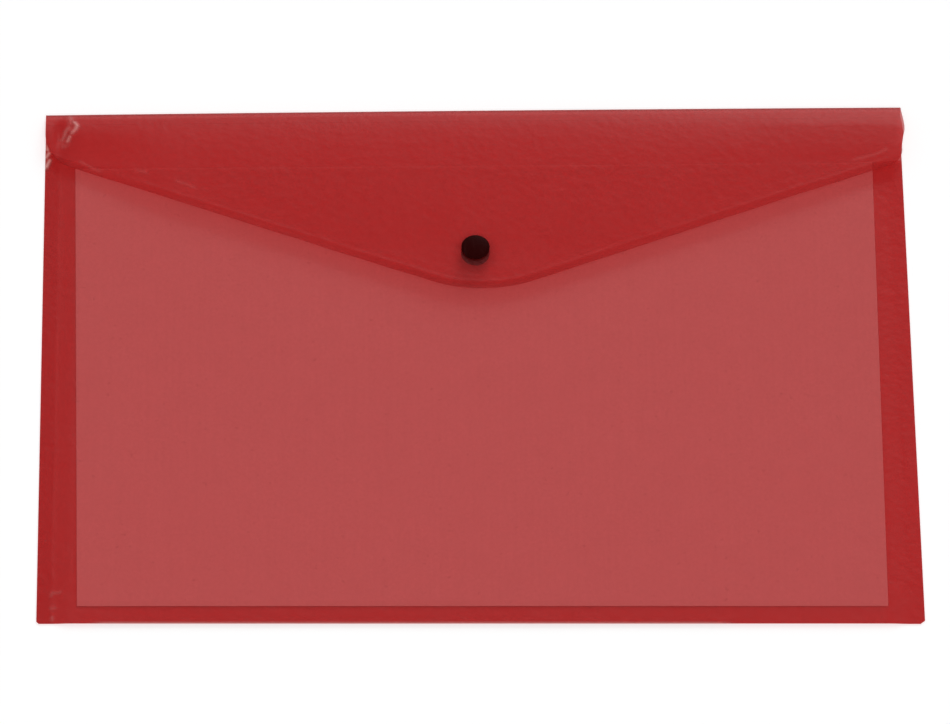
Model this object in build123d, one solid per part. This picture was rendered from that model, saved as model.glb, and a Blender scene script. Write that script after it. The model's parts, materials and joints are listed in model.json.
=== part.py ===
from build123d import *
import math
import os

# A document wallet of coloured plastic film, lying on its back with the flap closed.
# One blank of film is folded at the bottom and at the top, welded along both sides,
# and closed by a press stud. A sheet of paper lies in the pocket.
# X runs along the folds, Y from the bottom fold to the top fold, Z out of the front.
# Lengths are millimetres, and the origin is under the middle of the back.

# Film pocket
wallet_width = 360.0
wallet_height = 250.0
film = 0.2
weld_width = 6.0
ramp_width = 8.0

# Mouth of the pocket: the front film is cut down between two slopes, so that the sheet can be gripped
mouth_side_depth = 16.0
mouth_depth = 28.0
mouth_slope_width = 30.0
mouth_corner_radius = 12.0

# Flap, with its depths measured down from the top fold
flap_side_depth = 28.0
flap_tip_depth = 91.0
flap_tip_radius = 57.0
flap_corner_radius = 14.0
stud_tip_margin = 20.0

# Sheet of paper, by its gaps to the pocket around it and by how far it stands out of the mouth
sheet_thickness = 0.2
sheet_float = 0.2
sheet_side_gap = 1.0
sheet_bottom_gap = 8.3
sheet_grip = 2.2

# Press stud caps, each with a pin whose end is spread into a rivet head
cap_diameter = 11.8
cap_rim = 0.7
cap_crown = 0.4
cap_edge_chamfer = 0.25
cap_float = 0.2
pin_diameter = 2.4
pin_play = 0.05
rivet_diameter = 3.2
rivet_height = 0.35

# Press stud knob and socket
ring_diameter = 11.4
ring_chamfer = 0.35
base_height = 0.9
knob_diameter = 4.8
knob_undercut = 0.3
knob_play = 0.2
bulb_height = 0.9
snap_grip = 0.1
lip_height = 0.35
seat_gap = 0.15
socket_floor = 0.65

# The front film's climb from the side weld, as shares of the ramp's width
ramp_shares = (0.0, 0.25, 0.5, 0.75, 1.0)

# Levels of the stack, from the back film up to the flap
cap_height = cap_rim + cap_crown
pocket_gap = sheet_float + sheet_thickness + cap_float + cap_height
pocket_top = 2 * film + pocket_gap
neck_height = seat_gap + lip_height + knob_play / 2
knob_height = neck_height + bulb_height
socket_height = knob_height - seat_gap + knob_play + rivet_height + socket_floor
flap_under = pocket_top + base_height + seat_gap + socket_height
closed_height = flap_under + film
fold_radius = closed_height / 2

# Places along the wallet
half_width = wallet_width / 2
front_half_width = half_width - weld_width - ramp_width
top_y = wallet_height / 2
bottom_y = -wallet_height / 2
top_crease_y = top_y - fold_radius
bottom_crease_y = bottom_y + pocket_top / 2
mouth_side_y = top_y - mouth_side_depth
mouth_y = top_y - mouth_depth
mouth_half_width = half_width - mouth_slope_width
flap_tip_y = top_y - flap_tip_depth
stud_y = flap_tip_y + stud_tip_margin

pin_radius = pin_diameter / 2
rivet_radius = rivet_diameter / 2
ring_radius = ring_diameter / 2
knob_radius = knob_diameter / 2


def plate(half_x, low_y, high_y, low_z, thickness):
    """A flat sheet, even about the middle of the width."""
    sheet = Box(2 * half_x, high_y - low_y, thickness, align=(Align.CENTER, Align.MIN, Align.MIN))
    return Pos(0, low_y, low_z) * sheet


def pin_hole(level):
    """The hole that a cap's pin goes through in the film that lies at a level."""
    hole = Cylinder(pin_radius + pin_play, film, align=(Align.CENTER, Align.CENTER, Align.MIN))
    return Pos(0, stud_y, level) * hole


def turned(profile):
    """A solid of revolution about the stud's axis, from a face drawn as radius and height."""
    return revolve(Plane.XZ * profile, axis=Axis.Z)


def back_panel():
    return plate(half_width, bottom_crease_y, top_crease_y, 0, film)


def mouth_cut():
    """What is cut off above the mouth, through the front film and the upper ends of both side seams."""
    outline = Polyline(
        (-half_width, mouth_side_y),
        (half_width, mouth_side_y),
        (mouth_half_width, mouth_y),
        (-mouth_half_width, mouth_y),
        close=True,
    )
    face = make_face(outline)
    lower_corners = face.vertices().sort_by(Axis.Y)[0:2]
    face = fillet(lower_corners, mouth_corner_radius)
    return Pos(0, 0, film) * extrude(face, pocket_top)


def front_panel():
    level = film + pocket_gap
    blank = plate(front_half_width, bottom_crease_y, mouth_side_y, level, film)
    return blank - mouth_cut() - pin_hole(level)


def ramp_rise(share):
    """Height of the front film above the weld, on a climb made of two equal arcs."""
    radius = (ramp_width ** 2 + pocket_gap ** 2) / (4 * pocket_gap)
    run = min(share, 1 - share) * ramp_width
    bend = radius - math.sqrt(radius ** 2 - run ** 2)
    return bend if share <= 1 / 2 else pocket_gap - bend


def side_seam():
    """The right side: the front film welded flat on the back film, then climbing to the front panel."""
    weld_level = film + film / 2
    weld_x = half_width - weld_width
    halfway = ((weld_x + front_half_width) / 2, weld_level + pocket_gap / 2)
    top = (front_half_width, weld_level + pocket_gap)
    flange = Line((half_width, weld_level), (weld_x, weld_level))
    lower_bend = TangentArc(flange @ 1, halfway, tangent=flange % 1)
    upper_bend = TangentArc(lower_bend @ 1, top, tangent=lower_bend % 1)
    profile = trace(Curve() + [flange, lower_bend, upper_bend], film)
    blank = extrude(Plane.XZ.offset(-mouth_side_y) * profile, mouth_side_y - bottom_crease_y)
    return blank - mouth_cut()


def half_disc(x, radius, centre_z):
    """Half of a round section, bulging towards the bottom edge of the wallet."""
    top = (0, centre_z + radius)
    low = (0, centre_z - radius)
    outline = Curve() + [Line(low, top), ThreePointArc(top, (-radius, centre_z), low)]
    return Plane.YZ.offset(x) * Pos(bottom_crease_y, 0) * make_face(outline)


def bottom_fold():
    """The fold between back and front, round over the pocket and pinched flat at both welds."""
    weld_x = half_width - weld_width
    climb = [(weld_x - share * ramp_width, film + ramp_rise(share) / 2) for share in ramp_shares]
    right_inwards = [(half_width, film)] + climb
    left_inwards = [(-x, radius) for x, radius in right_inwards]
    stations = left_inwards + right_inwards[::-1]
    outside = loft([half_disc(x, radius, radius) for x, radius in stations], ruled=True)
    hollow = [(x, radius) for x, radius in stations if radius > film]
    inside = loft([half_disc(x, radius - film, radius) for x, radius in hollow], ruled=True)
    return outside - inside


def top_fold_half(start_angle):
    """A quarter of the round fold at the top, as a film bent about the fold's middle line."""
    bend = CenterArc((top_crease_y, fold_radius), fold_radius - film / 2, start_angle, 90)
    profile = trace(Curve() + [bend], film)
    return extrude(Plane.YZ * profile, half_width, both=True)


def flap_panel():
    """The flap below its fold: straight sides, slanted edges and a rounded tip."""
    drop = flap_tip_depth - flap_side_depth - flap_tip_radius
    slope = math.atan2(drop, half_width) + math.asin(flap_tip_radius / math.hypot(half_width, drop))
    tip_centre_y = flap_tip_y + flap_tip_radius
    tip_x = flap_tip_radius * math.sin(slope)
    tip_y = tip_centre_y - flap_tip_radius * math.cos(slope)
    side_y = top_y - flap_side_depth
    outline = Curve() + [
        Line((half_width, side_y), (half_width, top_crease_y)),
        Line((half_width, top_crease_y), (-half_width, top_crease_y)),
        Line((-half_width, top_crease_y), (-half_width, side_y)),
        Line((-half_width, side_y), (-tip_x, tip_y)),
        ThreePointArc((-tip_x, tip_y), (0, flap_tip_y), (tip_x, tip_y)),
        Line((tip_x, tip_y), (half_width, side_y)),
    ]
    face = make_face(outline)
    lower_corners = face.vertices().sort_by(Axis.Y)[2:4]
    face = fillet(lower_corners, flap_corner_radius)
    return Pos(0, 0, flap_under) * extrude(face, film) - pin_hole(flap_under)


def stud_cap(pin_length):
    """A cap with its crowned face up, its pin down and the rivet head at the pin's end."""
    radius = cap_diameter / 2
    crown_radius = (radius ** 2 + cap_crown ** 2) / (2 * cap_crown)
    shoulder = radius / 2
    shoulder_height = cap_height - crown_radius + math.sqrt(crown_radius ** 2 - shoulder ** 2)
    rivet_end = -pin_length - rivet_height
    crown = ThreePointArc((radius, cap_rim), (shoulder, shoulder_height), (0, cap_height))
    inside = Polyline(
        (0, cap_height),
        (0, rivet_end),
        (rivet_radius, rivet_end),
        (rivet_radius, -pin_length),
        (pin_radius, -pin_length),
        (pin_radius, 0),
        (radius, 0),
        (radius, cap_rim),
    )
    face = make_face(Curve() + [crown, inside])
    rim_corner = face.vertices().sort_by_distance((radius, cap_rim))[0]
    return turned(chamfer(rim_corner, cap_edge_chamfer))


def stud_outer_cap():
    return Pos(0, stud_y, closed_height) * stud_cap(film + socket_floor)


def stud_back_cap():
    pin_length = film + base_height + knob_height - rivet_height
    return Pos(0, stud_y, film + pocket_gap) * Rot(180, 0, 0) * stud_cap(pin_length)


def stud_knob():
    """The male half: a round base, a neck and a bulb, bored for the back cap's pin and rivet head."""
    bore = pin_radius + pin_play
    rivet_bore = rivet_radius + pin_play
    neck_radius = knob_radius - knob_undercut
    neck_top = base_height + neck_height
    knob_top = base_height + knob_height
    rivet_seat = knob_top - rivet_height
    bulge = (knob_radius, neck_top + bulb_height / 2)
    bulb = ThreePointArc((neck_radius, neck_top), bulge, (neck_radius, knob_top))
    outside = Polyline(
        (bore, 0),
        (ring_radius, 0),
        (ring_radius, base_height),
        (neck_radius, base_height),
        (neck_radius, neck_top),
    )
    inside = Polyline(
        (neck_radius, knob_top),
        (rivet_bore, knob_top),
        (rivet_bore, rivet_seat),
        (bore, rivet_seat),
        (bore, 0),
    )
    face = make_face(Curve() + [outside, bulb, inside])
    rim_corner = face.vertices().sort_by_distance((ring_radius, base_height))[0]
    return Pos(0, stud_y, pocket_top) * turned(chamfer(rim_corner, ring_chamfer))


def stud_socket():
    """The female half: a ring whose lip snaps over the bulb, hung from a floor that the pin goes through."""
    bore = pin_radius + pin_play
    lip_radius = knob_radius - snap_grip
    cavity_radius = knob_radius + knob_play
    outline = Polyline(
        (bore, socket_height),
        (ring_radius, socket_height),
        (ring_radius, 0),
        (lip_radius, 0),
        (lip_radius, lip_height),
        (cavity_radius, lip_height),
        (cavity_radius, socket_height - socket_floor),
        (bore, socket_height - socket_floor),
        (bore, socket_height),
    )
    face = make_face(outline)
    rim_corner = face.vertices().sort_by_distance((ring_radius, 0))[0]
    return Pos(0, stud_y, flap_under - socket_height) * turned(chamfer(rim_corner, ring_chamfer))


def document_sheet():
    half_x = front_half_width - sheet_side_gap
    low_y = bottom_y + sheet_bottom_gap
    high_y = mouth_y + sheet_grip
    return plate(half_x, low_y, high_y, film + sheet_float, sheet_thickness)


right_seam = side_seam()
pieces = {
    "back_panel": back_panel(),
    "bottom_fold": bottom_fold(),
    "front_panel": front_panel(),
    "right_side_seam": right_seam,
    "left_side_seam": mirror(right_seam, about=Plane.YZ),
    "top_fold_back": top_fold_half(-90),
    "flap_fold": top_fold_half(0),
    "flap_panel": flap_panel(),
    "stud_outer_cap": stud_outer_cap(),
    "stud_socket": stud_socket(),
    "stud_knob": stud_knob(),
    "stud_back_cap": stud_back_cap(),
    "document_sheet": document_sheet(),
}

os.makedirs("parts", exist_ok=True)
for name, shape in pieces.items():
    export_step(shape, f"parts/{name}.step")

print(f"closed height {closed_height + cap_height:.2f} mm, pocket gap {pocket_gap:.2f} mm")
print(f"hinge line at y {top_y:.2f} mm, z {fold_radius:.2f} mm; stud at y {stud_y:.2f} mm")
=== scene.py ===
# %% [markdown]
# # A document wallet of see-through red film
# The wallet lies on its back with the flap closed. One blank of thin film is folded at the bottom and at
# the top, welded along both sides and shut by a black press stud, and a sheet of white paper lies in it.
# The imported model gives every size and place, so the first cell loads it and the second one measures it.

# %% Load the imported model
import json
import math

import bpy
import numpy as np
from mathutils import Euler, Matrix, Vector, noise


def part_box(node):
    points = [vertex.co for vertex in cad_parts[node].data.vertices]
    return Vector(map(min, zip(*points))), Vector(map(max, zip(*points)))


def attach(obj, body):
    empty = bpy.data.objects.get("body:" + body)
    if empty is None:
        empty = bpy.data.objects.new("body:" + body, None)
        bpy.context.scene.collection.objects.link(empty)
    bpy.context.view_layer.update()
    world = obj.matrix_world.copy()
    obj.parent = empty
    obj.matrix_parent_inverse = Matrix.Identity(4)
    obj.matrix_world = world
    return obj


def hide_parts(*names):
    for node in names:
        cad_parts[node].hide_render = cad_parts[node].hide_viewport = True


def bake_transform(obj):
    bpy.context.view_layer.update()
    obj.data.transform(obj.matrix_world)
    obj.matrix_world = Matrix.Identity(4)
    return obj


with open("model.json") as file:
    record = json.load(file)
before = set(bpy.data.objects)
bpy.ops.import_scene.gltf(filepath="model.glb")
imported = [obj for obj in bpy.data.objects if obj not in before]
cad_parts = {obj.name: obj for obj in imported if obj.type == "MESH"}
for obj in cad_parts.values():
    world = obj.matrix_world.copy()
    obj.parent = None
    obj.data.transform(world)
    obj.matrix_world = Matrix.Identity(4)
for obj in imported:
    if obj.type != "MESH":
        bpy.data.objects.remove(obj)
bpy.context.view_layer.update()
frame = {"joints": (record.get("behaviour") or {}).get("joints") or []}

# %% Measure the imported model
mm = 0.001
back_low, back_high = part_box("back_panel")
flap_low, flap_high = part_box("flap_panel")
sheet_low, sheet_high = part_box("document_sheet")
cap_low, cap_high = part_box("stud_outer_cap")
hinge = next(joint for joint in frame["joints"] if joint["name"] == "flap_hinge")

film = back_high.z - back_low.z
half_width = back_high.x
top_y = hinge["pos_m"][1]
bottom_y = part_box("bottom_fold")[0].y
top_crease_y = back_high.y
mouth_side_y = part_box("left_side_seam")[1].y
stud_y = (cap_low.y + cap_high.y) / 2
back_mid = film / 2
front_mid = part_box("front_panel")[1].z - film / 2
flap_mid = flap_high.z - film / 2
print(f"wallet {2000 * half_width:.0f} by {1000 * (top_y - bottom_y):.0f} mm, film {1000 * film:.2f} mm")

# %% [markdown]
# ## Camera
# The photograph was taken from far off with a long lens, from the bottom edge's side and steeply above.
# The lens and the angles come from a fit of the wallet's four corners to the picture, so they are set as
# numbers and not tried by eye. The camera's turn is made from three plain angles, and its place follows by
# going back along its own line of sight.

# %% Camera
camera_lens = 303.16
camera_tilt = math.radians(33.01)
camera_swing = math.radians(-0.949)
camera_roll = math.radians(-0.268)
camera_back_off = Vector((-0.817, 0.856, 3307.64)) * mm
camera_reach = 100

camera_turn = Euler((camera_tilt, camera_swing, camera_roll), "ZYX").to_matrix()
bpy.ops.object.select_all(action="DESELECT")
bpy.ops.object.camera_add()
camera = bpy.context.object
camera.matrix_world = Matrix.Translation(camera_turn @ camera_back_off) @ camera_turn.to_4x4()
camera.data.lens = camera_lens
camera.data.clip_end = camera_reach
bpy.context.scene.camera = camera
print("camera at", [round(value, 3) for value in camera.location])

# %% [markdown]
# ## Tools for thin film
# Film is modelled as its middle surface and gets its thickness last. A grid primitive gives an even net of
# faces with a share from 0 to 1 across and along it. Folding such a net by hand would mean hundreds of small
# turns, so its vertices are moved in code to where the folded film lies, and Solidify then makes it a closed
# shell with a cut edge all round.

# %% Tools for thin film
film_smooth_angle = math.radians(40)


def unit_grid(name, columns, rows):
    """A flat grid whose X and Y run from 0 to 1."""
    bpy.ops.object.select_all(action="DESELECT")
    middle = (1 / 2, 1 / 2, 0)
    bpy.ops.mesh.primitive_grid_add(x_subdivisions=columns, y_subdivisions=rows, size=1, location=middle)
    piece = bpy.context.object
    piece.name = name
    piece.data.name = name
    bpy.ops.object.transform_apply()
    return piece


def places_of(piece):
    """The vertices of a piece as an array of X, Y and Z."""
    places = np.empty(3 * len(piece.data.vertices), np.float32)
    piece.data.vertices.foreach_get("co", places)
    return places.reshape(-1, 3).astype(float)


def move_to(piece, x, y, z):
    """Puts the vertices of a piece at new places."""
    piece.data.vertices.foreach_set("co", np.column_stack((x, y, z)).astype(np.float32).ravel())
    piece.data.update()


def thicken(piece, thickness):
    """Makes a closed shell of a surface, half of its thickness on each side, with smooth faces."""
    bpy.ops.object.select_all(action="DESELECT")
    piece.select_set(True)
    bpy.context.view_layer.objects.active = piece
    bpy.ops.object.modifier_add(type="SOLIDIFY")
    piece.modifiers[0].thickness = thickness
    piece.modifiers[0].offset = 0
    bpy.ops.object.modifier_apply(modifier=piece.modifiers[0].name)
    bpy.ops.object.shade_smooth_by_angle(angle=film_smooth_angle)
    print(f"{piece.name}: {len(piece.data.polygons)} faces")


def smooth_step(share):
    """An even climb from 0 to 1 with soft ends."""
    share = np.clip(share, 0, 1)
    return share * share * (3 - 2 * share)


def soft_waves(x, y, length, seed):
    """Soft random heights from about -1 to 1 that change over a length."""
    return np.array([noise.noise(Vector((a / length, b / length, seed))) for a, b in zip(x, y)])


def path_distance(x, y, path):
    """How far each place lies from a line through a few points."""
    nearest = np.full(len(x), np.inf)
    for (x0, y0), (x1, y1) in zip(path, path[1:]):
        along_x, along_y = x1 - x0, y1 - y0
        share = ((x - x0) * along_x + (y - y0) * along_y) / (along_x ** 2 + along_y ** 2)
        share = np.clip(share, 0, 1)
        gap = np.hypot(x - x0 - share * along_x, y - y0 - share * along_y)
        nearest = np.minimum(nearest, gap)
    return nearest


def mark(piece, name, values):
    """Stores one number a vertex for the film's material to read."""
    attribute = piece.data.attributes.new(name, "FLOAT", "POINT")
    attribute.data.foreach_set("value", values.astype(np.float32))
    print(f"{piece.name}: {name} up to {values.max():.2f}")


def softened(points):
    """A line through points with its corners cut off twice, so that it bends smoothly."""
    for _ in range(2):
        pairs = list(zip(points, points[1:]))
        quarters = [((3 * a + c) / 4, (3 * b + d) / 4) for (a, b), (c, d) in pairs]
        three_quarters = [((a + 3 * c) / 4, (b + 3 * d) / 4) for (a, b), (c, d) in pairs]
        inner = [place for both in zip(quarters, three_quarters) for place in both]
        points = [points[0], *inner, points[-1]]
    return points


# The creases of a hand-folded wallet are never quite parallel: this one is taller at its right end, and there
# both layers under the fold are pushed out a little past the side edge.
out_of_square = 1.1 * mm
fold_push = 0.4 * mm
side_push = 1.0 * mm
push_depth = 12.0 * mm
push_end = 19.0 * mm
push_width = 45.0 * mm


def square_off(x, y):
    """Y with the folds turned a little out of parallel, most at the four corners."""
    return y + out_of_square * (x / half_width) * (y / top_y)


def side_overhang(x, depth):
    """How far the film is pushed out past the side edge at the right end of the top fold."""
    right_end = smooth_step((x - half_width) / push_width + 1)
    fade = 1 - smooth_step((depth - push_depth) / (push_end - push_depth))
    return right_end * fade * (fold_push + side_push * smooth_step(depth / push_depth))


# %% [markdown]
# ## Pocket film
# The back, the bottom fold and the front are one run of film. The grid's rows follow that run: up to one
# share they lie in the back, then round the fold, then in the front, where they crowd at the bottom and at
# the mouth. Across the width the front is welded flat on the back along both sides and climbs from there to
# the pocket, where it rests on the paper. It stands up under the press stud and settles onto the sheet at
# the mouth. The mouth is cut down so that the sheet can be gripped, and climbs towards the sides, much less
# at the right than at the left. A slow wave keeps the film from looking like a pane of glass.

# %% Pocket film
weld_width = 6.0 * mm
ramp_width = 8.0 * mm
weld_gap = 0.05 * mm
bottom_slack = 0.6 * mm
resting_level = 1.25 * mm
stud_flat = 7.0 * mm
stud_slope = 34.0 * mm
mouth_slope = 26.0 * mm
mouth_settle = 0.35 * mm
front_wave = 0.16 * mm
front_wave_length = 55.0 * mm
mouth_depth = 26.06 * mm
mouth_slope_width = 30.0 * mm
right_mouth_drop = 9.0 * mm
weld_mid = 3 * film / 2 + weld_gap
mouth_y = top_y - mouth_depth
pocket_half_width = half_width - weld_width - ramp_width

back_rows = 60
fold_rows = 10
front_rows = 120
front_crowding = 0.65
pocket_columns = 200
weld_column_share = 0.12


def crowded(share):
    """A share of the way up the front, with rows that crowd at the bottom and at the mouth."""
    return front_crowding * (1 - np.cos(math.pi * share)) / 2 + (1 - front_crowding) * share


def pocket_column_places(share):
    """X across the pocket, with close columns over the welds and their ramps."""
    stops = (-half_width, -pocket_half_width, pocket_half_width, half_width)
    return np.interp(share, (0, weld_column_share, 1 - weld_column_share, 1), stops)


def mouth_edge(x):
    """Y of the front film's upper edge, which climbs towards the left side and a little towards the right."""
    share = np.clip((np.abs(x) - half_width) / mouth_slope_width + 1, 0, 1)
    side_y = mouth_side_y - np.where(x > 0, right_mouth_drop, 0)
    return mouth_y + (side_y - mouth_y) * share ** 2


def front_level(x, y):
    """Height of the front film's middle surface."""
    from_stud = np.hypot(x, y - stud_y)
    lift = 1 - smooth_step((from_stud - stud_flat) / stud_slope)
    mouth = smooth_step((y - mouth_edge(x)) / mouth_slope + 1)
    wave = front_wave * soft_waves(x, y, front_wave_length, seed=1.7) * (1 - lift) * (1 - mouth)
    pocket = resting_level + (front_mid - resting_level) * lift - mouth_settle * mouth + wave
    ramp = smooth_step((half_width - weld_width - np.abs(x)) / ramp_width)
    return weld_mid + (pocket - weld_mid) * ramp


def pocket_film():
    """The folded pocket, from the top crease round the bottom to the mouth."""
    piece = unit_grid("pocket_film", pocket_columns, back_rows + fold_rows + front_rows)
    flat = places_of(piece)
    x = pocket_column_places(flat[:, 0])
    row = flat[:, 1] * (back_rows + fold_rows + front_rows)
    bend = (front_level(x, np.full(len(x), bottom_y)) - back_mid) / 2
    crease_y = bottom_y - bottom_slack + film / 2 + bend
    back_share = np.clip(row / back_rows, 0, 1)
    fold_angle = math.pi * np.clip((row - back_rows) / fold_rows, 0, 1)
    front_share = crowded(np.clip((row - back_rows - fold_rows) / front_rows, 0, 1))
    y_back = top_crease_y + (crease_y - top_crease_y) * back_share
    y_front = crease_y + (mouth_edge(x) - crease_y) * front_share
    y = np.where(row <= back_rows + fold_rows, y_back, y_front) - bend * np.sin(fold_angle)
    z = back_mid + bend * (1 - np.cos(fold_angle))
    z = np.where(front_share > 0, front_level(x, y_front), z)
    move_to(piece, x + side_overhang(x, top_y - y), square_off(x, y), z)
    return piece


pocket = pocket_film()

# %% [markdown]
# The bottom corners of the real film are nipped off a little, more at the right. Bisect is the tool for a
# straight cut through both layers: it takes a point and a direction, and clears what lies beyond.

# %% Nipped bottom corners
left_nip = 1.1 * mm
left_nip_slope = 1.0
right_nip = 2.1 * mm
right_nip_slope = 0.75


def nip_corner(piece, side, size, slope):
    """Cuts a bottom corner off along a slanted line."""
    bpy.ops.object.select_all(action="DESELECT")
    piece.select_set(True)
    bpy.context.view_layer.objects.active = piece
    corner_y = square_off(side * half_width, bottom_y - bottom_slack)
    bpy.ops.object.mode_set(mode="EDIT")
    bpy.ops.mesh.select_all(action="SELECT")
    bpy.ops.mesh.bisect(
        plane_co=(side * (half_width - size), corner_y, 0),
        plane_no=(side * slope, -1, 0),
        clear_outer=True,
    )
    bpy.ops.object.mode_set(mode="OBJECT")


nip_corner(pocket, -1, left_nip, left_nip_slope)
nip_corner(pocket, 1, right_nip, right_nip_slope)
thicken(pocket, film)

# %% [markdown]
# Two marks go with the pocket for its material to read. The darker one is where the left weld leaves no air
# between the layers. The pale one is where the film was bent and turned pale: faintly beside that weld and
# along the bottom, and in a few nicks and scuffs at the left. It also paints a highlight as a thin pale line
# on most of the bottom crease.

# %% Marks on the pocket
left_weld_deepness = 0.2
weld_blur = 1.0 * mm
weld_waver = 0.4 * mm
weld_waver_length = 30.0 * mm
weld_strain = 0.04
bottom_strain = 0.028
strain_fade = 2.0 * mm
painted_crease_highlight = 0.55
painted_crease_highlight_width = 0.45 * mm
painted_crease_highlight_start = 19.0 * mm - half_width
painted_crease_highlight_end = 285.0 * mm - half_width
painted_crease_highlight_fade = 10.0 * mm
nick_width = 0.8 * mm
edge_nicks = (
    ((0.5, 15.4), (0.9, 16.9)),
    ((0.3, 20.8), (1.5, 18.6)),
    ((0.4, 25.8), (1.8, 22.3)),
)
scuff_width = 0.9 * mm
scuff_stress = 0.22
corner_scuffs = (
    ((5.8, 236.0), (6.6, 235.0), (9.4, 235.0)),
    ((6.0, 242.1), (7.6, 242.1)),
    ((6.6, 246.4), (6.6, 247.8)),
)


def from_top_left(points):
    """Places given in millimetres from the left end and below the top fold."""
    return [(-half_width + right * mm, top_y - down * mm) for right, down in points]


def stroke_share(x, y, strokes, width):
    """1 on the nearest of a few strokes, falling to 0 within about two widths."""
    lines = [from_top_left(softened(stroke)) for stroke in strokes]
    nearest = np.min([path_distance(x, y, line) for line in lines], axis=0)
    return np.exp(-(nearest / width) ** 2)


def mark_pocket(piece):
    """Stores the left weld's darker look, the pale stress marks and the painted highlight on the bottom
    crease.
    """
    x, y, z = places_of(piece).T
    weld_edge = half_width - weld_width + weld_waver * soft_waves(0 * x, y, weld_waver_length, seed=4.2)
    welded = smooth_step((np.abs(x) - weld_edge) / weld_blur + 1 / 2)
    mark(piece, "weld_and_painted_shade", np.where(x < 0, left_weld_deepness, 0) * welded)
    beside_weld = weld_strain * (1 - smooth_step((x + pocket_half_width) / strain_fade))
    along_bottom = bottom_strain * (1 - smooth_step((y - square_off(x, sheet_low.y)) / strain_fade))
    along_bottom = along_bottom * smooth_step((pocket_half_width - x) / strain_fade)
    strain = (1 - welded) * np.maximum(beside_weld, along_bottom)
    # A painted highlight along the bottom crease, kept in the same mark as the stress whitening.
    from_crease = y - square_off(x, bottom_y - bottom_slack)
    creased = smooth_step((x - painted_crease_highlight_start) / painted_crease_highlight_fade)
    creased = creased * smooth_step((painted_crease_highlight_end - x) / painted_crease_highlight_fade)
    crease = painted_crease_highlight * creased * np.exp(-(from_crease / painted_crease_highlight_width) ** 2)
    nicks = stroke_share(x, y, edge_nicks, nick_width)
    scuffs = scuff_stress * (z > film) * stroke_share(x, y, corner_scuffs, scuff_width)
    mark(piece, "stress_and_sheen", np.max([strain, crease, nicks, scuffs], axis=0))


mark_pocket(pocket)

# %% [markdown]
# ## Flap film
# The flap hangs from the top fold. Its cut edge runs down from both sides in straight slants to a round tip,
# with round corners at the sides. The outline is a formula of the place across the width, made of the
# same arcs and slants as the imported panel. The real flap is folded a little askew, so its left side is
# shorter and rounder than its right side. The left end also sags, which draws its edge back, and the whole
# edge wavers a little.

# %% Outline of the flap
tip_trim = 0.5 * mm
flap_tip_depth = top_y - flap_low.y - tip_trim
flap_tip_radius = 62.0 * mm
flap_tip_shift = 2.8 * mm
flap_sides = {-1: (25.2 * mm, 17.8 * mm), 1: (27.4 * mm, 8.3 * mm)}
edge_waver = 0.25 * mm
edge_waver_length = 16.0 * mm
left_sag = 2.5 * mm
sag_width = 55.0 * mm
sag_draw = 0.65


def slant_of(side_depth, length):
    """Angle of the straight slant from the flap's side down to the round tip."""
    drop = flap_tip_depth - side_depth - flap_tip_radius
    return math.atan2(drop, length) + math.asin(flap_tip_radius / math.hypot(length, drop))


def side_edge_depth(away, length, side_depth, corner_radius):
    """Depth of one side's cut edge at a distance from the tip, out to the flap's side."""
    slope = slant_of(side_depth, length)
    corner_run = corner_radius * math.tan(math.radians(45) - slope / 2)
    tip_arc = np.sqrt(np.maximum(flap_tip_radius ** 2 - away ** 2, 0))
    corner_arc = np.sqrt(np.maximum(corner_radius ** 2 - (away - length + corner_radius) ** 2, 0))
    depth = side_depth + (length - away) * math.tan(slope)
    in_tip = away < flap_tip_radius * math.sin(slope)
    depth = np.where(in_tip, flap_tip_depth - flap_tip_radius + tip_arc, depth)
    in_corner = away > length - corner_run * math.cos(slope)
    return np.where(in_corner, side_depth - corner_run + corner_arc, depth)


def sag(x):
    """How far the flap hangs lower towards its left end."""
    return left_sag * (1 - smooth_step((x + half_width) / sag_width))


def flap_depth(x):
    """How far the cut edge hangs below the top fold."""
    depth = edge_waver * soft_waves(x, 0 * x, edge_waver_length, seed=8.1) - sag_draw * sag(x)
    for side, (side_depth, corner_radius) in flap_sides.items():
        away = side * (x - flap_tip_shift)
        edge = side_edge_depth(away, half_width - side * flap_tip_shift, side_depth, corner_radius)
        depth = depth + np.where(away > 0, edge, 0)
    return depth


end_depths = flap_depth(np.array((-half_width, 0, half_width)))
print("flap depths at the left end, the middle and the right end:", np.round(end_depths / mm, 1))

# %% [markdown]
# The top fold isn't an even half circle: the crease lies low, and the film turns up from it with a small
# radius and then climbs in a long soft shoulder, which catches the light as a pale band along the top. From
# there it bulges a little, down to the stud that holds it. At the right end the shoulder breaks in a low
# crease, and at the left end the film sags towards the pocket. The cut edge has a faint ridge and a lip that
# turns down.

# %% Shape of the flap
crease_z = 1.0 * mm
crease_reach = 1.2 * mm
crease_share = 0.33
shoulder = 42.0 * mm
shoulder_softness = 4.5
bulge = 0.8 * mm
right_crease = 0.8 * mm
right_crease_depth = 10.5 * mm
right_crease_end = 28.0 * mm
right_crease_rise = 30.0 * mm
right_crease_waver = 1.2 * mm
right_crease_waver_length = 22.0 * mm
sag_start = 7.0 * mm
sag_reach = 19.0 * mm
flap_wave = 0.22 * mm
flap_wave_length = 48.0 * mm
ridge_height = 0.10 * mm
ridge_inset = 2.9 * mm
ridge_width = 0.7 * mm
lip_width = 2.1 * mm
lip_drop = 0.8 * mm
lip_curl = 1.3
calm_end = 70.0 * mm


def shoulder_share(depth):
    """Share of the fold's rise that the film has made at a depth: a tight start and a long soft climb."""
    tight = np.clip(depth / crease_reach, 0, 1)
    soft = np.clip(depth / shoulder, 0, 1)
    turn_up = np.sqrt(1 - (1 - tight) ** 2)
    return crease_share * turn_up + (1 - crease_share) * (1 - (1 - soft) ** shoulder_softness)


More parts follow.
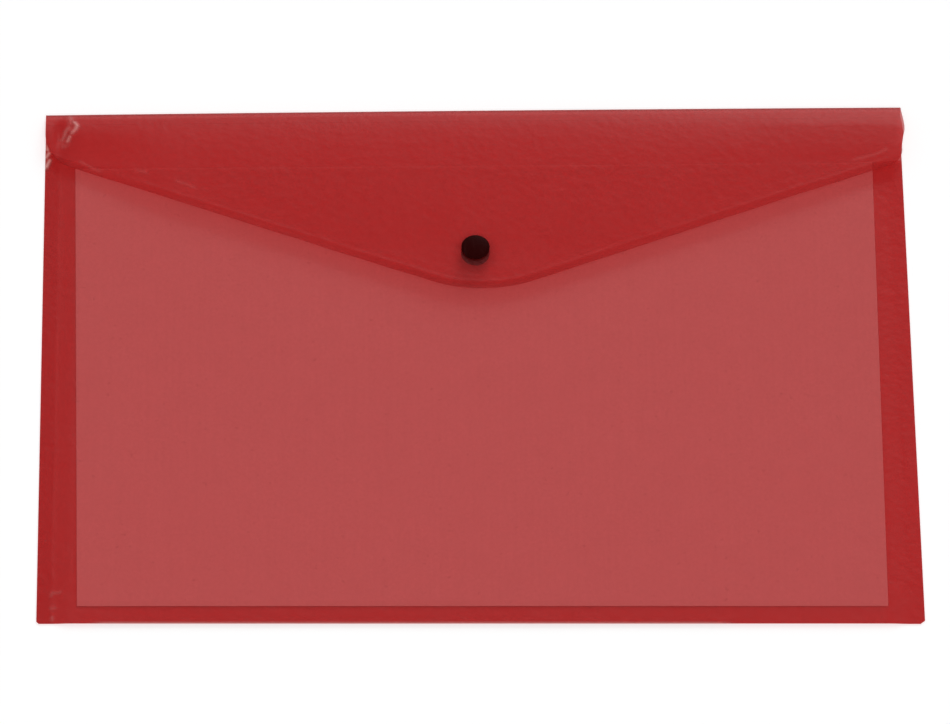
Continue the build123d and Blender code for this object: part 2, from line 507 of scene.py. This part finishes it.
def right_break(x, depth):
    """Rise of the low crease across the shoulder at the right end."""
    place = smooth_step((x - half_width + calm_end) / right_crease_rise)
    waver = right_crease_waver * soft_waves(x, 0 * x, right_crease_waver_length, seed=3.3)
    crease = right_crease_depth + waver
    descent = (right_crease_end - depth) / (right_crease_end - crease)
    climb = np.where(depth < crease, depth / crease, descent)
    return right_crease * place * np.clip(climb, 0, 1)


def flap_height(x, y, depth, to_edge):
    """Height of the flap's middle surface at a depth below the fold."""
    height = crease_z + (flap_mid - crease_z) * shoulder_share(depth) + right_break(x, depth)
    height = height - sag(x) * smooth_step((depth - sag_start) / sag_reach)
    ends = 1 - (x / half_width) ** 2
    height = height + bulge * ends * np.sin(math.pi * np.clip(depth / (top_y - stud_y), 0, 1))
    from_stud = np.hypot(x, y - stud_y)
    calm = smooth_step((from_stud - stud_flat) / stud_slope) * smooth_step(depth / shoulder)
    height = height + flap_wave * calm * soft_waves(x, y, flap_wave_length, seed=6.3)
    left_end = smooth_step((x + half_width) / calm_end)
    height = height + ridge_height * left_end * np.exp(-((to_edge - ridge_inset) / ridge_width) ** 2)
    return height - lip_drop * left_end * np.clip(1 - to_edge / lip_width, 0, 1) ** lip_curl


# %% [markdown]
# At the left end of the fold the real film is crumpled: a small S-shaped ridge with bright peaks, two dark
# clefts and a dent beside it. Sculpting it by hand would be a few strokes, and here the strokes are short
# lines through a few points: the film rises along them and sinks in the dent. The ridge is marked pale for
# its stress whitening together with a painted glint, the peaks get painted highlights, and the clefts get
# painted shade in the flap's darker mark. A few pale strokes on the flap, scratches with painted glints, are
# marked in the same way.

# %% Crumple, scratches and painted glints
crumple_height = 0.35 * mm
crumple_width = 1.25 * mm
crumple_whitening_and_glint = 0.40
crumple_start = 2.0 * mm
crumple_strokes = (
    ((9.7, 2.4), (10.5, 4.9), (10.1, 7.2), (9.0, 9.8), (7.8, 12.3), (6.7, 15.0), (7.5, 17.2), (9.2, 16.6)),
)
# The peaks rise with the ridge and are painted as highlights.
peak_width = 0.85 * mm
painted_peak_highlight = 0.6
peak_strokes = (
    ((11.9, 5.6), (13.3, 7.4), (12.6, 9.6), (11.1, 11.4)),
    ((10.2, 13.2), (9.4, 15.4)),
)
# The clefts have no shape of their own: they are painted shade in the flap's darker mark.
cleft_width = 0.6 * mm
cleft_strokes = (
    ((11.5, 5.0), (11.0, 7.8)),
    ((10.0, 10.8), (9.1, 13.2)),
)
patch_size = 2.6 * mm
patch_mean = 0.85
patch_swing = 0.9
patch_limits = (0.3, 1.3)
dent_place = (6.0, 11.0)
dent_width = 2.6 * mm
dent_top = 5.5 * mm
dent_tail = 9.0 * mm
dent_depth = 2.0 * mm
scratch_width = 0.7 * mm
scratch_and_glint_paleness = 0.12
scratches_and_glints = (
    ((14.8, 25.2), (19.0, 28.4), (23.2, 30.8)),
    ((38.7, 31.4), (42.5, 32.4)),
    ((55.5, 37.1), (62.6, 40.1)),
    ((339.9, 27.4), (345.3, 25.9), (349.5, 24.6), (353.2, 22.3)),
)


def crumple(x, y):
    """Rise of the film round the crumpled end of the fold, and its pale stress mark with painted highlights.
    """
    patches = np.clip(patch_mean + patch_swing * soft_waves(x, y, patch_size, seed=5.5), *patch_limits)
    ridge = patches * stroke_share(x, y, crumple_strokes, crumple_width)
    peaks = stroke_share(x, y, peak_strokes, peak_width)
    scratched = stroke_share(x, y, scratches_and_glints, scratch_width)
    ((dent_x, dent_y),) = from_top_left((dent_place,))
    length = np.where(y > dent_y, dent_top, dent_tail)
    dent = np.exp(-((x - dent_x) / dent_width) ** 2 - ((y - dent_y) / length) ** 2)
    stress_and_sheen = np.max([crumple_whitening_and_glint * ridge, painted_peak_highlight * peaks, scratch_and_glint_paleness * scratched], axis=0)
    return crumple_height * np.maximum(ridge, peaks) - dent_depth * dent, stress_and_sheen


# %% [markdown]
# The grid's rows follow the film: round the lower half of the fold, over the shoulder, down the flap, and
# close together along the cut edge. Its columns crowd into the round corners.

# %% Rows and columns of the flap
under_rows = 10
shoulder_rows = 26
field_rows = 44
edge_rows = 24
flap_row_count = under_rows + shoulder_rows + field_rows + edge_rows
flap_columns = 400
corner_zone = 18.0 * mm
corner_share = 0.2
shoulder_zone = 14.0 * mm
shoulder_zone_limit = 0.55
edge_zone = 10.0 * mm
edge_zone_limit = 0.4
edge_crowding = 1.6


def flap_column_places(share):
    """X across the flap, with columns that crowd into the round corners."""
    side = 2 * share - 1
    inner_end = half_width - corner_zone
    inner = np.abs(side) / (1 - corner_share) * inner_end
    outer_turn = np.clip((np.abs(side) - 1) / corner_share + 1, 0, 1) * math.pi / 2
    outer = inner_end + corner_zone * np.sin(outer_turn)
    return np.sign(side) * np.where(np.abs(side) < 1 - corner_share, inner, outer)


def flap_rows(share, x):
    """Turn round the lower half of the fold, and depth below the fold, for a share of the way along."""
    row = share * flap_row_count
    whole = flap_depth(x)
    reach = np.minimum(shoulder_zone, whole * shoulder_zone_limit)
    edge = np.minimum(edge_zone, whole * edge_zone_limit)
    turn = np.clip(row / under_rows, 0, 1)
    soft = np.clip((row - under_rows) / shoulder_rows, 0, 1)
    field = np.clip((row - under_rows - shoulder_rows) / field_rows, 0, 1)
    last = np.clip((row - under_rows - shoulder_rows - field_rows) / edge_rows, 0, 1)
    depth = reach * (1 - np.cos(soft * math.pi / 2)) + (whole - reach - edge) * field
    return turn, depth + edge * (1 - (1 - last) ** edge_crowding)


# %% [markdown]
# The flap has the same two marks as the pocket. The darker one is painted shade: along the crease, the cut
# rim and the clefts of the crumple, and a painted shadow just below the stud. The pale one is stress
# whitening in the crumple and the scratches, with painted glints there, and a painted sheen on the shoulder,
# stronger towards the right and reaching further down at the right end.

# %% Marks on the flap
painted_crease_shade = 1.0
crease_width = 4.5 * mm
painted_cleft_shade = 0.9
painted_rim_shade = 0.6
rim_width = 0.9 * mm
rim_tip_start = 70.0 * mm
painted_stud_shadow = 1.0
stud_shadow_drop = 3.0 * mm
stud_shadow_flat = 5.0 * mm
stud_shadow_fade = 6.0 * mm
# Painted sheen: on the shoulder, stronger to the right, and lower down at the right end.
painted_shoulder_sheen = 0.065
painted_shoulder_sheen_start = 3.9 * mm
painted_shoulder_sheen_end = 13.0 * mm
painted_right_sheen = 0.04
painted_right_sheen_start = 20.0 * mm
painted_right_sheen_width = 130.0 * mm
painted_right_sheen_rise = 9.0 * mm
painted_right_sheen_depth = 15.0 * mm
painted_right_sheen_fade = 12.0 * mm


def painted_flap_shade(x, y, depth, to_edge):
    """Painted shade on the flap: at its cut rim, the crease and the clefts, and a painted shadow below the
    stud.
    """
    # Every term here darkens the film's colour and what shows through it to paint shade, the last one a
    # shadow below the stud.
    tip = smooth_step((depth - rim_tip_start) / (flap_tip_depth - rim_tip_start))
    rim = (painted_rim_shade + (1 - painted_rim_shade) * tip) * np.exp(-((to_edge / (rim_width * (1 + tip))) ** 2))
    crease = painted_crease_shade * (1 - smooth_step(depth / crease_width))
    cleft = painted_cleft_shade * stroke_share(x, y, cleft_strokes, cleft_width)
    from_stud_shadow = np.hypot(x, y - stud_y + stud_shadow_drop)
    stud_shadow = painted_stud_shadow * (1 - smooth_step((from_stud_shadow - stud_shadow_flat) / stud_shadow_fade))
    return np.max([rim, crease, cleft, stud_shadow], axis=0)


def painted_flap_sheen(x, depth):
    """Painted sheen on the bent shoulder, stronger towards the right, and a painted sheen lower down at the
    right end.
    """
    across = (1 + x / half_width) / 2
    fade = (depth - painted_shoulder_sheen_start) / (painted_shoulder_sheen_end - painted_shoulder_sheen_start)
    shoulder_sheen = painted_shoulder_sheen * across * (1 - smooth_step(fade))
    right_sheen = painted_right_sheen * smooth_step((x - painted_right_sheen_start) / painted_right_sheen_width)
    right_sheen = right_sheen * smooth_step(depth / painted_right_sheen_rise)
    return shoulder_sheen + right_sheen * (1 - smooth_step((depth - painted_right_sheen_depth) / painted_right_sheen_fade))


# %% [markdown]
# The flap's film is one net from the back's crease to the cut edge. The lower half of the fold lies on the
# desk almost up to the crease, so its curve is squarer than a circle, and the fold bows out a little in the
# middle of its length.

# %% Flap film
fold_bow = 0.4 * mm
fold_out = 0.9 * mm
fold_squareness = 0.5


def flap_film():
    """The flap with both halves of the top fold, from the back's crease to the cut edge."""
    piece = unit_grid("flap_film", flap_columns, flap_row_count)
    flat = places_of(piece)
    x = flap_column_places(flat[:, 0])
    turn, depth = flap_rows(flat[:, 1], x)
    below = turn < 1
    outer_y = top_y - film / 2
    y_flap = outer_y - depth
    edge_x = flap_column_places(np.linspace(0, 1, flap_columns + 1))
    to_edge = path_distance(x, y_flap, list(zip(edge_x, outer_y - flap_depth(edge_x))))
    rise, stress_and_sheen = crumple(x, y_flap)
    z_flap = flap_height(x, y_flap, depth, to_edge) + rise * smooth_step(depth / crumple_start)
    under_angle = turn * math.pi / 2
    level = np.maximum(np.cos(under_angle), 0) ** fold_squareness
    z_under = back_mid + (crease_z - back_mid) * (1 - level)
    y_under = top_crease_y + (outer_y - top_crease_y) * np.sin(under_angle) ** fold_squareness
    y = np.where(below, y_under, y_flap)
    bow = (fold_out + fold_bow * (1 - (x / half_width) ** 2)) * np.sin(under_angle)
    askew = (square_off(x, y) - y + bow) * (1 - smooth_step(depth / flap_depth(x)))
    move_to(piece, x + side_overhang(x, depth), y + askew, np.where(below, z_under, z_flap))
    # Pale mark: stress whitening with painted glints and sheen. Darker mark: painted shade.
    mark(piece, "stress_and_sheen", np.where(below, 0, stress_and_sheen + painted_flap_sheen(x, depth)))
    mark(piece, "weld_and_painted_shade", np.where(below, 0, painted_flap_shade(x, y_flap, depth, to_edge)))
    return piece


flap = flap_film()
thicken(flap, film)

# %% [markdown]
# ## Press stud
# Four turned plastic pieces make the stud: a cap with a pin on each side of the two films, a socket under
# the flap and a knob on the front. A lathe part is half of its section, spun round its axis. The section is
# drawn by extruding one vertex from point to point, and Spin sweeps it round. A small Bevel on the sharp
# edges then gives the soft rims of a moulding.

# %% Turned pieces
stud_steps = 72
seed_size = 0.1 * mm
merge_reach = seed_size / 10
bevel_segments = 3
bevel_angle = math.radians(40)
stud_smooth_angle = math.radians(35)


def turned_piece(name, section, bevel):
    """A round piece from the half section that is drawn as pairs of radius and height."""
    bpy.ops.object.select_all(action="DESELECT")
    start_radius, start_height = section[0]
    bpy.ops.mesh.primitive_plane_add(size=seed_size, location=(start_radius, stud_y, start_height))
    piece = bpy.context.object
    piece.name = name
    piece.data.name = name
    bpy.ops.object.mode_set(mode="EDIT")
    bpy.ops.mesh.select_all(action="SELECT")
    bpy.ops.mesh.merge(type="CENTER")
    for (radius, height), (next_radius, next_height) in zip(section, section[1:]):
        step = (next_radius - radius, 0, next_height - height)
        bpy.ops.mesh.extrude_vertices_move(TRANSFORM_OT_translate={"value": step})
    bpy.ops.mesh.select_all(action="SELECT")
    bpy.ops.mesh.spin(steps=stud_steps, angle=2 * math.pi, center=(0, stud_y, 0), axis=(0, 0, 1))
    bpy.ops.mesh.select_all(action="SELECT")
    bpy.ops.mesh.remove_doubles(threshold=merge_reach)
    bpy.ops.mesh.normals_make_consistent(inside=False)
    bpy.ops.object.mode_set(mode="OBJECT")
    bpy.ops.object.transform_apply()
    bpy.ops.object.modifier_add(type="BEVEL")
    piece.modifiers[0].width = bevel
    piece.modifiers[0].segments = bevel_segments
    piece.modifiers[0].angle_limit = bevel_angle
    bpy.ops.object.modifier_apply(modifier=piece.modifiers[0].name)
    bpy.ops.object.shade_smooth_by_angle(angle=stud_smooth_angle)
    print(f"{name}: {len(piece.data.polygons)} faces")
    return piece


# %% [markdown]
# Both caps are the same moulding, one turned over. The face is a low crown with a fine step round its rim.
# The pin goes through the film and ends in a rivet head inside the socket or the knob.

# %% Caps
cap_radius = (cap_high.x - cap_low.x) / 2
cap_rim = 0.7 * mm
cap_crown = 0.4 * mm
rim_step_width = 0.7 * mm
rim_step = 0.12 * mm
pin_radius = 1.2 * mm
rivet_radius = 1.6 * mm
rivet_height = 0.35 * mm
crown_points = 10
soft_edge = 0.12 * mm


def cap_section(seat, side, reach):
    """Half section of a cap whose flat lies at a height and whose face looks up (1) or down (-1)."""
    crown_edge = cap_radius - rim_step_width
    rise = [index / crown_points for index in range(crown_points + 1)]
    crown = [(crown_edge * share, cap_rim + cap_crown * (1 - share ** 2)) for share in rise]
    outline = crown + [
        (crown_edge, cap_rim - rim_step),
        (cap_radius, cap_rim - rim_step),
        (cap_radius, 0),
        (pin_radius, 0),
        (pin_radius, rivet_height - reach),
        (rivet_radius, rivet_height - reach),
        (rivet_radius, -reach),
        (0, -reach),
    ]
    return [(radius, seat + side * height) for radius, height in outline]


back_cap_low, back_cap_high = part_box("stud_back_cap")
cap_height = cap_rim + cap_crown
outer_seat = cap_high.z - cap_height
back_seat = back_cap_low.z + cap_height
outer_cap = turned_piece("outer_cap", cap_section(outer_seat, 1, outer_seat - cap_low.z), soft_edge)
back_cap = turned_piece("back_cap", cap_section(back_seat, -1, back_cap_high.z - back_seat), soft_edge)

# %% [markdown]
# The knob is a flat base with a neck and a bulb. The socket is a ring with a floor, and a lip inside it
# snaps over the bulb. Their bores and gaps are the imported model's own.

# %% Knob and socket
knob_low, knob_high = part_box("stud_knob")
socket_low, socket_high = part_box("stud_socket")
ring_radius = (knob_high.x - knob_low.x) / 2
base_height = 0.9 * mm
knob_radius = 2.4 * mm
knob_undercut = 0.3 * mm
bulb_height = 0.9 * mm
bore_radius = 1.25 * mm
rivet_bore = 1.65 * mm
lip_radius = 2.3 * mm
lip_height = 0.35 * mm
cavity_radius = 2.6 * mm
socket_floor = 0.65 * mm
bulb_points = 8

neck_radius = knob_radius - knob_undercut
bulb_low = knob_high.z - bulb_height
base_top = knob_low.z + base_height
bulb_turns = [math.pi * index / bulb_points for index in range(bulb_points + 1)]
bulb = [
    (neck_radius + knob_undercut * math.sin(turn), bulb_low + bulb_height * index / bulb_points)
    for index, turn in enumerate(bulb_turns)
]
knob_section = [
    (bore_radius, knob_low.z),
    (ring_radius, knob_low.z),
    (ring_radius, base_top),
    (neck_radius, base_top),
    *bulb,
    (rivet_bore, knob_high.z),
    (rivet_bore, knob_high.z - rivet_height),
    (bore_radius, knob_high.z - rivet_height),
    (bore_radius, knob_low.z),
]
socket_section = [
    (bore_radius, socket_high.z),
    (ring_radius, socket_high.z),
    (ring_radius, socket_low.z),
    (lip_radius, socket_low.z),
    (lip_radius, socket_low.z + lip_height),
    (cavity_radius, socket_low.z + lip_height),
    (cavity_radius, socket_high.z - socket_floor),
    (bore_radius, socket_high.z - socket_floor),
    (bore_radius, socket_high.z),
]
knob = turned_piece("knob", knob_section, soft_edge)
socket = turned_piece("socket", socket_section, soft_edge)

# %% [markdown]
# ## Sheet of paper
# The sheet lies loose in the pocket, on the back film and almost flat. A real sheet that has been handled
# bows by a fraction of a millimetre, so the grid is waved a little before it gets its thickness. In the
# photograph the sheet's sides lean apart by about one part in sixty towards the top, and the grid follows
# that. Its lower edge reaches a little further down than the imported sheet's.

# %% Sheet of paper
sheet_columns = 66
sheet_rows = 44
sheet_wave = 0.07 * mm
sheet_wave_length = 70.0 * mm
sheet_reach = 0.5 * mm
sheet_half_widths = (164.5 * mm, 167.4 * mm)
sheet_shifts = (0.85 * mm, 0.1 * mm)


def paper_sheet():
    """The sheet as a waved grid whose sides lean apart."""
    piece = unit_grid("paper_sheet", sheet_columns, sheet_rows)
    flat = places_of(piece)
    half_x = np.interp(flat[:, 1], (0, 1), sheet_half_widths)
    x = np.interp(flat[:, 1], (0, 1), sheet_shifts) + half_x * (2 * flat[:, 0] - 1)
    y = np.interp(flat[:, 1], (0, 1), (sheet_low.y - sheet_reach, sheet_high.y))
    middle = back_high.z + sheet_wave + (sheet_high.z - sheet_low.z) / 2
    wave = sheet_wave * soft_waves(x, y, sheet_wave_length, seed=2.4)
    move_to(piece, x, square_off(x, y), middle + wave)
    return piece


sheet = paper_sheet()
thicken(sheet, sheet_high.z - sheet_low.z)

# %% [markdown]
# ## Materials
# Each finish is a small set of nodes that reads Object coordinates, so its grain has a real size in metres.
# One helper adds a node with its settings and links, which keeps each finish short enough to read.

# %% Tools for materials
def new_material(name):
    """An empty node material and its tree."""
    material = bpy.data.materials.new(name)
    material.use_nodes = True
    material.node_tree.nodes.clear()
    return material, material.node_tree


def add_node(tree, kind, inputs, **settings):
    """A node with its settings, and with its inputs set to values or linked to other nodes' outputs."""
    made = tree.nodes.new(kind)
    for name, value in settings.items():
        setattr(made, name, value)
    for name, value in inputs.items():
        if isinstance(value, bpy.types.NodeSocket):
            tree.links.new(value, made.inputs[name])
        else:
            made.inputs[name].default_value = value
    return made


def grain(tree, size, detail, stretch=(1, 1, 1)):
    """Noise from 0 to 1 whose grains are about as large as a size, longer along a stretched axis."""
    place = add_node(tree, "ShaderNodeTexCoord", {}).outputs["Object"]
    scale = [1 / (size * share) for share in stretch]
    mapped = add_node(tree, "ShaderNodeMapping", {"Vector": place, "Scale": scale}).outputs["Vector"]
    made = add_node(tree, "ShaderNodeTexNoise", {"Vector": mapped, "Scale": 1, "Detail": detail})
    return made.outputs["Factor"] if "Factor" in made.outputs else made.outputs["Fac"]


def spread(tree, value, low, high, from_low=0, from_high=1):
    """A value moved from one range to another, kept between its ends."""
    inputs = {"Value": value, "From Min": from_low, "From Max": from_high, "To Min": low, "To Max": high}
    return add_node(tree, "ShaderNodeMapRange", inputs).outputs["Result"]


def join(tree, operation, first, second):
    """Two values added, multiplied or compared."""
    return add_node(tree, "ShaderNodeMath", {0: first, 1: second}, operation=operation).outputs[0]


def tint(tree, share, first, second):
    """A colour between two colours."""
    inputs = {0: share, 6: first, 7: second}
    return add_node(tree, "ShaderNodeMix", inputs, data_type="RGBA").outputs[2]


# %% [markdown]
# ### Red film
# Coloured polypropylene film lets light through and scatters some of it, so each face of the film is a mix
# of a tinted Transparent shader and a satin red Principled one. One layer over white paper then looks pale,
# two layers look dark red, and the order of the layers doesn't have to be painted. The share of the satin
# shader is called body here. Fine grain, faint streaks from the rollers and a few specks vary it. The marks
# on the mesh darken the film at the left weld and paint shade and shadow on the flap, and turn it pale where
# it was bent, with painted highlights, glints and sheen mixed into the same pale mark.

# %% Red film
film_red = (0.63, 0.07, 0.07, 1)
weld_and_shade_red = (0.50, 0.03, 0.03, 1)
pale_stress_and_sheen_pink = (0.80, 0.36, 0.32, 1)
film_tint = (0.973, 0.635, 0.635, 1)
weld_and_shade_tint = (0.915, 0.57, 0.57, 1)
film_body = 0.10
film_gloss = 1.0
film_roughness = (0.42, 0.52)
fine_size = 1.4 * mm
fine_body = 0.024
fine_roughness = 0.04
cloud_size = 14 * mm
cloud_body = 0.016
streak_size = 1.6 * mm
streak_stretch = (1, 40, 1)
streak_body = 0.01
speck_size = 2.2 * mm
speck_range = (0.72, 0.80)
speck_body = 0.05
stress_and_sheen_body = 0.75
ripple_size = 3.5 * mm
ripple_grain = 0.085
ripple_strength = 0.45
ripple_height = 0.6 * mm


def film_material():
    """See-through red film that reads the marks on its mesh."""
    material, tree = new_material("red_film")
    weld_and_painted_shade = add_node(tree, "ShaderNodeAttribute", {}, attribute_name="weld_and_painted_shade").outputs["Fac"]
    stress_and_sheen = add_node(tree, "ShaderNodeAttribute", {}, attribute_name="stress_and_sheen").outputs["Fac"]
    fine = grain(tree, fine_size, detail=2)
    cloudy = grain(tree, cloud_size, detail=3)
    streaks = grain(tree, streak_size, detail=2, stretch=streak_stretch)
    specks = spread(tree, grain(tree, speck_size, detail=1), 0, 1, *speck_range)
    # Darker mark: the left weld and painted shade. Pale mark: stress whitening with painted highlights and
    # sheen.
    colour = tint(tree, weld_and_painted_shade, film_red, weld_and_shade_red)
    colour = tint(tree, stress_and_sheen, colour, pale_stress_and_sheen_pink)
    body = join(tree, "ADD", spread(tree, fine, -fine_body, fine_body), film_body)
    body = join(tree, "ADD", body, spread(tree, cloudy, -cloud_body, cloud_body))
    body = join(tree, "ADD", body, spread(tree, streaks, -streak_body, streak_body))
    body = join(tree, "ADD", body, join(tree, "MULTIPLY", specks, speck_body))
    body = join(tree, "ADD", body, join(tree, "MULTIPLY", stress_and_sheen, stress_and_sheen_body))
    cloudy_rough = spread(tree, cloudy, *film_roughness)
    rough = join(tree, "ADD", cloudy_rough, spread(tree, fine, -fine_roughness, fine_roughness))
    fine_ripple = join(tree, "MULTIPLY", fine, ripple_grain)
    ripple = join(tree, "ADD", grain(tree, ripple_size, detail=2), fine_ripple)
    bump_inputs = {"Height": ripple, "Strength": ripple_strength, "Distance": ripple_height}
    bump = add_node(tree, "ShaderNodeBump", bump_inputs).outputs["Normal"]
    shell = add_node(
        tree,
        "ShaderNodeBsdfPrincipled",
        {"Base Color": colour, "Roughness": rough, "Normal": bump, "Specular IOR Level": film_gloss},
    )
    clear = add_node(tree, "ShaderNodeBsdfTransparent", {"Color": tint(tree, weld_and_painted_shade, film_tint, weld_and_shade_tint)})
    mixed = add_node(
        tree, "ShaderNodeMixShader", {0: body, 1: clear.outputs["BSDF"], 2: shell.outputs["BSDF"]}
    )
    add_node(tree, "ShaderNodeOutputMaterial", {"Surface": mixed.outputs["Shader"]})
    return material


# %% [markdown]
# ### Black stud and white paper
# The stud is moulded plastic, almost black, with a soft gloss that fine handling marks break up. The paper
# is plain white with a faint cloud of fibres, and has no gloss.

# %% Black stud
stud_black = (0.023, 0.0012, 0.0012, 1)
stud_worn = (0.030, 0.004, 0.004, 1)
stud_gloss = 0.015
stud_roughness = (0.38, 0.5)
stud_grain_size = 0.25 * mm
stud_grain_strength = 0.15
stud_grain_height = 0.02 * mm
handling_size = 1.2 * mm
handling_stretch = (1, 5, 1)
handling_range = (0.56, 0.72)
handling_roughness = 0.12


def stud_material():
    """Moulded black plastic with handling marks."""
    material, tree = new_material("black_stud")
    fine = grain(tree, stud_grain_size, detail=3)
    handled = grain(tree, handling_size, detail=3, stretch=handling_stretch)
    handled = spread(tree, handled, 0, 1, *handling_range)
    colour = tint(tree, handled, stud_black, stud_worn)
    worn_rough = join(tree, "MULTIPLY", handled, handling_roughness)
    rough = join(tree, "ADD", spread(tree, fine, *stud_roughness), worn_rough)
    bump_inputs = {"Height": fine, "Strength": stud_grain_strength, "Distance": stud_grain_height}
    bump = add_node(tree, "ShaderNodeBump", bump_inputs).outputs["Normal"]
    shell = add_node(
        tree,
        "ShaderNodeBsdfPrincipled",
        {"Base Color": colour, "Roughness": rough, "Normal": bump, "Specular IOR Level": stud_gloss},
    )
    add_node(tree, "ShaderNodeOutputMaterial", {"Surface": shell.outputs["BSDF"]})
    return material


# %% White paper
paper_white = (0.70, 0.70, 0.69, 1)
paper_shade = (0.66, 0.66, 0.65, 1)
paper_roughness = 0.9
paper_gloss = 0.1
fibre_size = 0.5 * mm
fibre_strength = 0.2
fibre_height = 0.02 * mm
paper_cloud_size = 9 * mm
paper_cloud_low = 0.3


def paper_material():
    """Plain paper with a faint cloud of fibres."""
    material, tree = new_material("white_paper")
    fibres = grain(tree, fibre_size, detail=4)
    cloudy = grain(tree, paper_cloud_size, detail=3)
    share = join(tree, "MULTIPLY", spread(tree, cloudy, paper_cloud_low, 1), fibres)
    colour = tint(tree, share, paper_white, paper_shade)
    bump_inputs = {"Height": fibres, "Strength": fibre_strength, "Distance": fibre_height}
    bump = add_node(tree, "ShaderNodeBump", bump_inputs).outputs["Normal"]
    surface = {"Roughness": paper_roughness, "Specular IOR Level": paper_gloss}
    shell = add_node(tree, "ShaderNodeBsdfPrincipled", {"Base Color": colour, "Normal": bump, **surface})
    add_node(tree, "ShaderNodeOutputMaterial", {"Surface": shell.outputs["BSDF"]})
    return material


# %% [markdown]
# A piece takes its finish from its one material.

# %% Dress the pieces
def dress(piece, material):
    """Gives a piece its finish as its one material."""
    piece.data.materials.clear()
    piece.data.materials.append(material)


red_film = film_material()
black_stud = stud_material()
for piece in (pocket, flap):
    dress(piece, red_film)
for piece in (outer_cap, socket, knob, back_cap):
    dress(piece, black_stud)
dress(sheet, paper_material())
print("materials:", [material.name for material in bpy.data.materials if material.users])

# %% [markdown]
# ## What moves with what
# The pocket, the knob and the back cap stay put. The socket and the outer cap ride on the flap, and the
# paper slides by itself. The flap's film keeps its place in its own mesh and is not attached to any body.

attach(pocket, "pocket")
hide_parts("back_panel", "bottom_fold", "front_panel", "left_side_seam", "right_side_seam")
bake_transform(flap)
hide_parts("top_fold_back", "flap_fold", "flap_panel")
for piece, body, node in (
    (outer_cap, "flap", "stud_outer_cap"),
    (socket, "flap", "stud_socket"),
    (knob, "pocket", "stud_knob"),
    (back_cap, "pocket", "stud_back_cap"),
    (sheet, "document", "document_sheet"),
):
    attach(piece, body)
    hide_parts(node)
    print(f"{piece.name} rides on the {body}")

# %% [markdown]
# ## Floor and light
# The picture has a plain white ground. A wide matt floor takes the light and the wallet's shadow, and a glow
# of its own, seen by the camera only where no film lies in between, takes it to white. The light is soft: a
# pale room, a broad lamp from the camera's side, and a low one from behind the top fold. The low one draws
# the pale band on the fold and the soft shadows of the flap's edge and the stud, and painted sheen and
# painted shade in the film's marks add to them. Light goes through many faces of film on its way down to the
# paper and back, more than Blender follows at first, so the number of faces that a ray may pass is raised.

# %% Floor
floor_size = 60
floor_drop = 0.05 * mm
floor_white = (0.72, 0.72, 0.72, 1)
floor_glow = 0.43
half_a_face = 0.5


def seen_directly(tree):
    """1 for the camera's rays, also by mirror or through glass, and 0 behind film and for lighting."""
    path = add_node(tree, "ShaderNodeLightPath", {}).outputs
    seen = join(tree, "MAXIMUM", path["Is Camera Ray"], path["Is Glossy Ray"])
    seen = join(tree, "MAXIMUM", seen, path["Is Transmission Ray"])
    bare = join(tree, "LESS_THAN", path["Transparent Depth"], half_a_face)
    return join(tree, "MULTIPLY", seen, bare)


def floor_material():
    """Matt white, with a glow that only a direct look sees."""
    material, tree = new_material("white_floor")
    matt = add_node(tree, "ShaderNodeBsdfDiffuse", {"Color": floor_white})
    strength = join(tree, "MULTIPLY", seen_directly(tree), floor_glow)
    glow = add_node(tree, "ShaderNodeEmission", {"Strength": strength})
    both = add_node(tree, "ShaderNodeAddShader", {0: matt.outputs["BSDF"], 1: glow.outputs["Emission"]})
    add_node(tree, "ShaderNodeOutputMaterial", {"Surface": both.outputs["Shader"]})
    return material


bpy.ops.object.select_all(action="DESELECT")
bpy.ops.mesh.primitive_plane_add(size=floor_size, location=(0, 0, -floor_drop))
floor = bpy.context.object
floor.name = "floor"
floor.data.materials.append(floor_material())
print(f"floor {floor_drop / mm:.2f} mm below the wallet")

# %% World and lamps
wall_light = 0.5
ceiling_light = 0.18
wall_top = 0.15
ceiling_edge = 0.75
front_lamp = {"strength": 1.22, "from_zenith": 35, "towards_front": 180, "width": 30}
back_lamp = {"strength": 1.6, "from_zenith": 63, "towards_front": -15, "width": 36}
film_faces = 32


def make_world():
    """A white room: bright walls near the horizon and a dimmer ceiling."""
    world = bpy.data.worlds.new("white_room")
    world.use_nodes = True
    tree = world.node_tree
    tree.nodes.clear()
    direction = add_node(tree, "ShaderNodeTexCoord", {}).outputs["Generated"]
    height = add_node(tree, "ShaderNodeSeparateXYZ", {"Vector": direction}).outputs["Z"]
    strength = spread(tree, height, wall_light, ceiling_light, wall_top, ceiling_edge)
    sky = add_node(tree, "ShaderNodeBackground", {"Color": (1, 1, 1, 1), "Strength": strength})
    add_node(tree, "ShaderNodeOutputWorld", {"Surface": sky.outputs["Background"]})
    bpy.context.scene.world = world


def add_sun(name, strength, from_zenith, towards_front, width):
    """A far soft lamp, by its angles in degrees from overhead and round from the top fold, and its width."""
    turn = Euler((-math.radians(from_zenith), 0, math.radians(towards_front)), "XYZ")
    bpy.ops.object.light_add(type="SUN", rotation=turn)
    lamp = bpy.context.object
    lamp.name = name
    lamp.data.energy = strength
    lamp.data.angle = math.radians(width)
    print(f"{name}: strength {strength}, {from_zenith} degrees from overhead")


make_world()
add_sun("front_lamp", **front_lamp)
add_sun("back_lamp", **back_lamp)
bpy.context.scene.cycles.transparent_max_bounces = film_faces
bpy.context.scene.view_settings.view_transform = "Standard"
